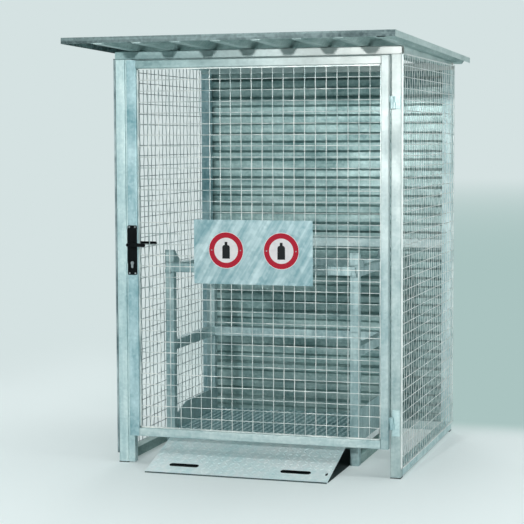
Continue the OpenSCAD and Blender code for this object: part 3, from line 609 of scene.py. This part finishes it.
# %% Treads on ramp and deck
RAMP_LENGTH = 0.432                  # from the ramp's axis to its lower edge
RAMP_PLATE = 0.006                   # thickness of the ramp plate
TREAD_MARGINS = (0.004, 0.020)       # bare plate at the ramp's lower edge and at its axis
SLOT_FROM_EDGE = 0.084               # from the lower edge to the slots' middle line
SLOT_LINE = SLOT_FROM_EDGE - RAMP_LENGTH  # y of that line, from the ramp's axis
HAND_SLOTS = ((-0.281, 0.073), (0.281, 0.073))  # middle in x and half the length of each
SLOTS = (*HAND_SLOTS, (0.4325, 0.020))  # the same for all, with the small slot at the right
SLOT_MARGINS = (0.016, 0.032)        # bare plate beside a slot, along x and from its middle line


def free_of_slots(x, y):
    """False where a lens would hang over a slot of the ramp."""
    near_line = abs(y - SLOT_LINE) < SLOT_MARGINS[1]
    return not any(near_line and abs(x - middle) < half + SLOT_MARGINS[0] for middle, half in SLOTS)


ramp_axis = Vector(joints["ramp_hinge"]["pos_m"])
ramp_slope = math.asin((ramp_axis.z - RAMP_PLATE / 2) / RAMP_LENGTH)
on_ramp = Matrix.Translation(ramp_axis) @ Matrix.Rotation(ramp_slope, 4, "X")
on_ramp = on_ramp @ Matrix.Translation((0, 0, RAMP_PLATE / 2))
half_ramp = (ramp_high.x - ramp_low.x) / 2
ramp_treads = tread_field("ramp_treads", (-half_ramp, -RAMP_LENGTH + TREAD_MARGINS[0]),
                          (half_ramp, -TREAD_MARGINS[1]), free_of_slots, "ramp", on_ramp)
deck_low, deck_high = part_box("rack_deck")
on_deck = Matrix.Translation((0, 0, deck_high.z))
deck_treads = tread_field("deck_treads", deck_low, deck_high, lambda x, y: True, "frame", on_deck)
print("tread faces", len(ramp_treads.data.polygons), len(deck_treads.data.polygons))

# %% [markdown]
# ## Edging of the hand slots
# Fingers lift the ramp by two of its slots, so their edges are covered with a black rubber
# edging, which also widens the dark of the slots as painted shade of the floor below them. A
# closed poly curve follows each slot in the middle of the plate, and its round section is a
# little thicker than the plate, which is how such an edging sits on a real sheet.

# %% Slot edging
SLOT_HALF_WIDTH = 0.013              # half the width of a slot
EDGING_RADIUS = 0.0038               # radius of the edging's section
END_STEPS = 12                       # steps of a slot's round end


def slot_line(middle, half):
    """The outline of a slot with round ends, in the ramp's middle plane."""
    points = []
    for end, start in ((1, -90), (-1, 90)):
        for step in range(END_STEPS + 1):
            turn = math.radians(180 / END_STEPS * step + start)
            x = middle + end * (half - SLOT_HALF_WIDTH) + SLOT_HALF_WIDTH * math.cos(turn)
            y = SLOT_LINE + SLOT_HALF_WIDTH * math.sin(turn)
            points.append(on_ramp @ Vector((x, y, -RAMP_PLATE / 2)))
    return points


# black rubber edging, also painted shade in the slots
edging_and_shade = bmesh.new()
edged = [slot_line(*slot) for slot in HAND_SLOTS]
edging_and_shade.from_mesh(wire_curve("edging_and_shade", edged, EDGING_RADIUS, closed=True, sides=2))
make_piece("slot_edging_and_shade", edging_and_shade, black_plastic, "ramp", smooth=True)
print("edged slots", len(edged))

# %% [markdown]
# ## Round plates on the sign
# Two enamelled plates are riveted to the sign: white, with a red rim and a plain upright bottle
# in the middle. They could be painted on, but fired enamel has layers whose edges catch the
# light, so each colour is a thin disc, ring or outline of its own, stacked by a few tenths of a
# millimetre. The bottle is a straight body, two quarter-round shoulders and a short neck.

# %% Sign finishes
ENAMEL_CONTRAST = 1.5                # how far its wear swings between the two tones
ENAMEL_WORN = 0.2                    # share of the worn tone at middling wear
ENAMEL_ROUGH = (0.5, 0.1)            # roughness of enamel, and what its wear adds
ENAMEL_SHEEN = 0.2                   # specular level of old enamel


def enamel(name, tone, worn):
    """Fired enamel, slightly uneven in tone and sheen."""
    f = Finish(name)
    wear = f.noise(f.place(), scale=60.0, detail=4.0)
    uneven = f.mix((wear - 0.5) * ENAMEL_CONTRAST + ENAMEL_WORN, tone, worn)
    rough = ENAMEL_ROUGH[0] + ENAMEL_ROUGH[1] * wear
    return f.surface(Base_Color=uneven, Roughness=rough, Specular_IOR_Level=ENAMEL_SHEEN)


white_enamel = enamel("white enamel", colour(236, 232, 233), colour(216, 214, 217))
red_enamel = enamel("red enamel", colour(184, 22, 48), colour(168, 32, 54))
black_enamel = enamel("black enamel", colour(12, 15, 18), colour(26, 30, 34))
print("enamels", [finish.name for finish in (white_enamel, red_enamel, black_enamel)])

# %% Discs and rings
LAYER = 0.0003                       # thickness of each layer
ROUND_SIDES = 96                     # corners of a round plate


def add_disc(shape, radius, layer, segments=ROUND_SIDES, middle=(0, 0)):
    """Adds a thin disc that stands on a layer."""
    place = Matrix.Translation((*middle, (layer + 0.5) * LAYER))
    bmesh.ops.create_cone(shape, cap_ends=True, segments=segments, radius1=radius, radius2=radius,
                          depth=LAYER, matrix=place)


def add_ring(shape, outer, inner, layer):
    """Adds a thin ring by spinning its section about the middle."""
    section = [shape.verts.new((r, 0, z * LAYER)) for r, z in
               ((inner, layer), (outer, layer), (outer, layer + 1), (inner, layer + 1))]
    edges = [shape.edges.new((section[i], section[(i + 1) % 4])) for i in range(4)]
    bmesh.ops.spin(shape, geom=section + edges, cent=(0, 0, 0), axis=(0, 0, 1), angle=math.tau,
                   steps=ROUND_SIDES, use_merge=True)


print("layers of", round(LAYER * 1000, 2), "mm")

# %% The bottle
BOTTLE_WIDE = 0.038                  # width of the bottle's body
BOTTLE_BODY = 0.054                  # height of the body up to the shoulders
NECK_WIDE = 0.014                    # width of the neck
NECK_HIGH = 0.015                    # height of the neck over the shoulders
SHOULDER_STEPS = 9                   # steps of a shoulder's quarter round


def bottle_outline():
    """Half of an upright bottle's outline about x = 0, from its foot to its top."""
    half, neck = BOTTLE_WIDE / 2, NECK_WIDE / 2
    shoulder = half - neck
    foot = -(BOTTLE_BODY + shoulder + NECK_HIGH) / 2
    round_part = [(neck + shoulder * math.cos(turn), foot + BOTTLE_BODY + shoulder * math.sin(turn))
                  for turn in (math.radians(90 / SHOULDER_STEPS * step)
                               for step in range(SHOULDER_STEPS + 1))]
    return [(half, foot), *round_part, (neck, -foot)]


def add_bottle(shape, layer):
    """Adds a flat bottle that stands on a layer."""
    right = bottle_outline()
    outline = right + [(-x, y) for x, y in reversed(right)]
    face = shape.faces.new([shape.verts.new((x, y, layer * LAYER)) for x, y in outline])
    raised = bmesh.ops.extrude_face_region(shape, geom=[face])
    top = [part for part in raised["geom"] if isinstance(part, bmesh.types.BMVert)]
    bmesh.ops.translate(shape, vec=(0, 0, LAYER), verts=top)


print("bottle outline of", len(bottle_outline()) * 2, "points")

# %% Round plates on the sign
SIGN_PLACES = {"sign_left": -0.1345, "sign_right": 0.1425}  # of the plates from the sign's middle
SIGN_HIGH = 0.0085                   # of the plates' middles above the sign's middle
SIGN_RADIUS = 0.0885                 # outer radius of the white disc
RING_OUTER = 0.0860                  # outer radius of the rim
RING_INNER = 0.0605                  # inner radius of the rim
RIVET_RADIUS = 0.0032                # radius of a rivet's head
RIVET_OUT = 0.0730                   # of the rivets' middles, from the plate's middle
RIVET_SIDES = 24                     # corners of a rivet's head


def face_place(x, y, z):
    """Turns a flat shape from the XY plane to face the door's front at a point."""
    return Matrix.Translation((x, y, z)) @ Matrix.Rotation(math.radians(90), 4, "X")


def round_sign(name, x):
    """One plate on the sign: disc, bottle, rim and two rivets."""
    low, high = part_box("sign_plate")
    place = face_place((low.x + high.x) / 2 + x, low.y, (low.z + high.z) / 2 + SIGN_HIGH)
    disc, dark, red, rivets = bmesh.new(), bmesh.new(), bmesh.new(), bmesh.new()
    add_disc(disc, SIGN_RADIUS, 0)
    add_bottle(dark, 1)
    add_ring(red, RING_OUTER, RING_INNER, 1)
    for side in (-1, 1):
        add_disc(rivets, RIVET_RADIUS, 2, segments=RIVET_SIDES, middle=(side * RIVET_OUT, 0))
    for part, shape, finish in (("disc", disc, white_enamel), ("bottle", dark, black_enamel),
                                ("rim", red, red_enamel), ("rivets", rivets, hardware)):
        bmesh.ops.recalc_face_normals(shape, faces=shape.faces[:])
        bmesh.ops.transform(shape, matrix=place, verts=shape.verts[:])
        make_piece(name + "_" + part, shape, finish, "door")


for name, x in SIGN_PLACES.items():
    round_sign(name, x)
print("round plates", len(SIGN_PLACES))

# %% [markdown]
# ## Floor, backdrop and light
# The photograph is a studio shot on a pale sweep. A wide disc is the floor. Near the cage it is
# plain paint that takes shadows, and further out it fades into the background's own colour, so
# no horizon shows. Metal mirrors that same background. Behind the cage, on its right, a painted
# shadow darkens the sweep, and the floor under the rack is painted dark as shade, because
# little light gets there.
#
# A small light far in front, a little higher than the roof, throws the shadows of the roof's
# ribs on the header, as in the photograph. There the light comes in under the front trim, so
# the trim throws no shadow here. A large light above fills the ramp and the floor, one on the
# right fills the side, and one behind shows the back wall when the part is turned.

# %% Backdrop
BACKDROP = colour(213, 226, 226)     # of the pale sweep


def background_rays(tree):
    """1 for rays that see the background: the camera's, and those off metal or through glass."""
    path = tree.nodes.new("ShaderNodeLightPath")
    seen = path.outputs["Is Camera Ray"]
    for kind in ("Is Glossy Ray", "Is Transmission Ray"):
        either = tree.nodes.new("ShaderNodeMath")
        either.operation = "MAXIMUM"
        tree.links.new(seen, either.inputs[0])
        tree.links.new(path.outputs[kind], either.inputs[1])
        seen = either.outputs[0]
    return seen


print("backdrop", [round(part, 2) for part in BACKDROP[:3]])

# %% Floor
FLOOR_RADIUS = 60.0                  # so wide that its edge lies close under the horizon
FLOOR_SIDES = 96                     # corners of the disc
FLOOR_PAINT = colour(240, 250, 250)  # of the floor near the cage
FLOOR_GLOW = 0.3                     # share of the backdrop's own colour in the near floor
FLOOR_FADE = (1.6, 5.5)              # distances over which the floor becomes the backdrop
PAINTED_UNDER_SHADE = colour(60, 74, 74)     # painted shade on the floor under the rack
UNDER_EDGE = 0.03                    # from the ramp's lower edge to that dark floor
SHADE = colour(170, 196, 193)        # painted shadow on the sweep behind the cage, on its right
SHADE_FROM = (0.55, 1.15)            # y over which that shade begins, behind the cage
SHADE_LEFT = (-0.302, -1.6, 0.4)     # drift in x for each metre of y, start and end of its left edge
SHADE_RIGHT = (-0.10, 2.0, 4.5)      # the same for its right edge
SHADE_FADE = (10.0, 60.0)            # distances over which it fades away


def floor_finish():
    """Paint near the cage, a backdrop glow further out, painted shadow behind, painted shade under the rack."""
    f = Finish("studio floor")
    away = f.add("ShaderNodeVectorMath", {"operation": "LENGTH"}, {0: f.place()}, output="Value")
    x, y = f.along("X"), f.along("Y")
    fade = f.ramp(away, *FLOOR_FADE)
    shade = f.ramp(y, *SHADE_FROM) * (1.0 - f.ramp(away, *SHADE_FADE))
    shade = shade * f.ramp(x - y * SHADE_LEFT[0], *SHADE_LEFT[1:])
    shade = shade * (1.0 - f.ramp(x - y * SHADE_RIGHT[0], *SHADE_RIGHT[1:]))
    # painted shade: the floor under the rack is dark and shows no glow
    under = (x > ramp_low.x) * (x < ramp_high.x) * (y > ramp_low.y + UNDER_EDGE) * (y < deck_high.y)
    open_floor = 1.0 - under
    floor_tone = f.mix(under, FLOOR_PAINT, PAINTED_UNDER_SHADE)
    paint = f.add("ShaderNodeBsdfPrincipled", {}, {"Base Color": floor_tone, "Roughness": 0.9})
    glow = f.add("ShaderNodeEmission", {}, {"Color": f.mix(shade, BACKDROP, SHADE), "Strength": 1.0})
    seen = Signal(f, background_rays(f.tree))
    share = f.ramp(fade + shade, -FLOOR_GLOW / (1 - FLOOR_GLOW), 1.0, "LINEAR")
    f.add_output(f.add("ShaderNodeMixShader", {}, {0: share * seen * open_floor, 1: paint, 2: glow}))
    return f.material


floor_shape = bmesh.new()
bmesh.ops.create_circle(floor_shape, cap_ends=True, segments=FLOOR_SIDES, radius=FLOOR_RADIUS)
floor_mesh = bpy.data.meshes.new("floor")
floor_shape.to_mesh(floor_mesh)
floor_shape.free()
floor_mesh.materials.append(floor_finish())
floor = bpy.data.objects.new("floor", floor_mesh)
bpy.context.scene.collection.objects.link(floor)
print("floor", FLOOR_RADIUS, "m in radius")

# %% World
WORLD_LEVEL = 0.17                   # brightness of the surroundings as a light
WORLD_TONE = colour(222, 238, 240)   # of that light


def make_world():
    """Pale surroundings: the backdrop's colour to the eye and to metal, a softer light to the rest."""
    world = bpy.data.worlds.new("studio")
    bpy.context.scene.world = world
    world.use_nodes = True
    tree = world.node_tree
    tree.nodes.clear()
    backdrop = tree.nodes.new("ShaderNodeBackground")
    backdrop.inputs["Color"].default_value = BACKDROP
    light = tree.nodes.new("ShaderNodeBackground")
    light.inputs["Color"].default_value = WORLD_TONE
    light.inputs["Strength"].default_value = WORLD_LEVEL
    either = tree.nodes.new("ShaderNodeMixShader")
    end = tree.nodes.new("ShaderNodeOutputWorld")
    tree.links.new(background_rays(tree), either.inputs[0])
    tree.links.new(light.outputs[0], either.inputs[1])
    tree.links.new(backdrop.outputs[0], either.inputs[2])
    tree.links.new(either.outputs[0], end.inputs["Surface"])


make_world()
print("world level", WORLD_LEVEL)

# %% Lights
def soft_light(name, place, target, size, power, spread=180):
    """A square area light that looks at a point and fades out within its spread in degrees."""
    data = bpy.data.lights.new(name, "AREA")
    data.size = size
    data.energy = power
    data.spread = math.radians(spread)
    light = bpy.data.objects.new(name, data)
    bpy.context.scene.collection.objects.link(light)
    light.location = place
    light.rotation_mode = "QUATERNION"
    light.rotation_quaternion = (Vector(place) - Vector(target)).to_track_quat("Z", "Y")
    return light


lights = [
    soft_light("front light", place=(-0.10, -9.03, 2.79), target=(0, 0, 2.2), size=0.2, power=60,
               spread=80),
    soft_light("top light", place=(0, -0.5, 6.5), target=(0, -0.5, 0), size=5.0, power=332),
    soft_light("right light", place=(6.5, -2.2, 2.6), target=(0.6, 0, 1.2), size=1.5, power=104),
    soft_light("back light", place=(-1.5, 7.0, 3.5), target=(0, 0.6, 1.2), size=3.0, power=150),
]
nodes["roof_trim_front"].visible_shadow = False
print("lights", [light.name for light in lights])

# %% [markdown]
# ## Colours as written
# The Standard view shows a colour as it was chosen. Nothing else in the colour management is
# touched.

# %% Colour management
bpy.context.scene.view_settings.view_transform = "Standard"
